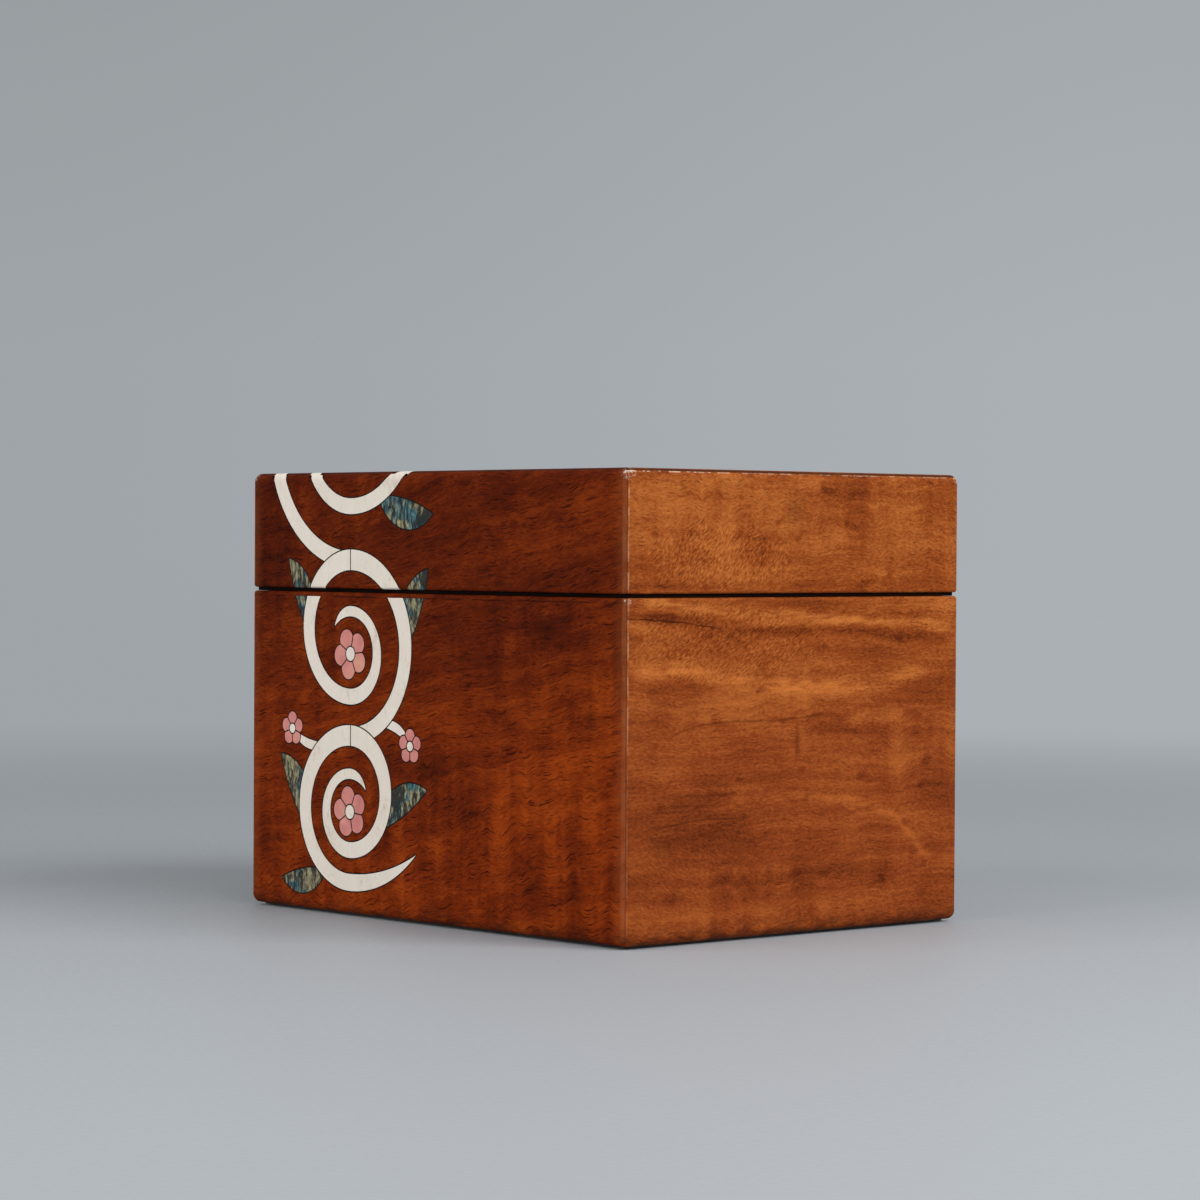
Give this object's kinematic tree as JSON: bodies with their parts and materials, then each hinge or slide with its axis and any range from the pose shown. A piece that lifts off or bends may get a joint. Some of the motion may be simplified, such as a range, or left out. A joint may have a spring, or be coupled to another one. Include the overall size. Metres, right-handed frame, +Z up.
{
  "type": "inlaid wooden box",
  "caption": "Rectangular wooden box with mitred walls and a hinged lid; a flush shell scroll inlay climbs the front and runs over the lid. Keeps small things.",
  "frame": {"origin": "middle of the felt's underside, on which the box rests", "axes": "+X to the right along the inlaid front, +Y from the front to the hinged back, +Z up"},
  "size_m": [0.17, 0.1333, 0.13],
  "materials": {
    "red_wood": "satin lacquer over red-brown figured wood",
    "veneer": "satin lacquer over red-brown figured veneer",
    "plain_wood": "plain sanded wood",
    "felt": "black felt",
    "velvet": "wine red velvet",
    "brass": "polished brass",
    "pearl": "polished mother of pearl",
    "pink_shell": "polished pink shell",
    "abalone": "polished abalone shell",
    "mastic": "dark brown filler"
  },
  "bodies": {
    "box": {"base_back_board": "red_wood", "base_blossom_1": "pink_shell", "base_blossom_2": "pink_shell", "base_blossom_centres": "pearl", "base_bud_1": "pink_shell", "base_bud_2": "pink_shell", "base_corner_splines": "plain_wood", "base_felt": "felt", "base_front_board": "red_wood", "base_leaves": "abalone", "base_left_board": "red_wood", "base_mastic": "mastic", "base_right_board": "red_wood", "base_scroll_1_curl": "pearl", "base_scroll_1_stem": "pearl", "base_scroll_2_curl": "pearl", "base_scroll_2_stem": "pearl", "base_tendril_1": "pearl", "base_tendril_2": "pearl", "bottom_panel": "plain_wood", "floor_lining": "velvet", "hinge_base_screws": "brass", "hinge_left_base_leaf": "brass", "hinge_left_pin": "brass", "hinge_right_base_leaf": "brass", "hinge_right_pin": "brass"},
    "lid": {"hinge_left_lid_leaf": "brass", "hinge_lid_screws": "brass", "hinge_right_lid_leaf": "brass", "lid_back_rail": "red_wood", "lid_corner_splines": "plain_wood", "lid_front_leaves": "abalone", "lid_front_mastic": "mastic", "lid_front_rail": "red_wood", "lid_front_scroll_2_curl": "pearl", "lid_front_scroll_2_stem": "pearl", "lid_front_scroll_3_curl": "pearl", "lid_front_scroll_3_stem": "pearl", "lid_left_rail": "red_wood", "lid_lining": "velvet", "lid_right_rail": "red_wood", "lid_top_blossom_3": "pink_shell", "lid_top_blossom_4": "pink_shell", "lid_top_blossom_centres": "pearl", "lid_top_leaves": "abalone", "lid_top_mastic": "mastic", "lid_top_panel": "red_wood", "lid_top_scroll_3_curl": "pearl", "lid_top_scroll_3_stem": "pearl", "lid_top_scroll_4_curl": "pearl", "lid_top_scroll_4_stem": "pearl", "lid_top_veneer": "veneer"}
  },
  "joints": [
    {"name": "lid_hinge", "type": "hinge", "parent": "box", "child": "lid", "pos_m": [0, 0.0656, 0.09485], "axis": [-1, 0, 0], "range_deg": [0, 95]}
  ]
}
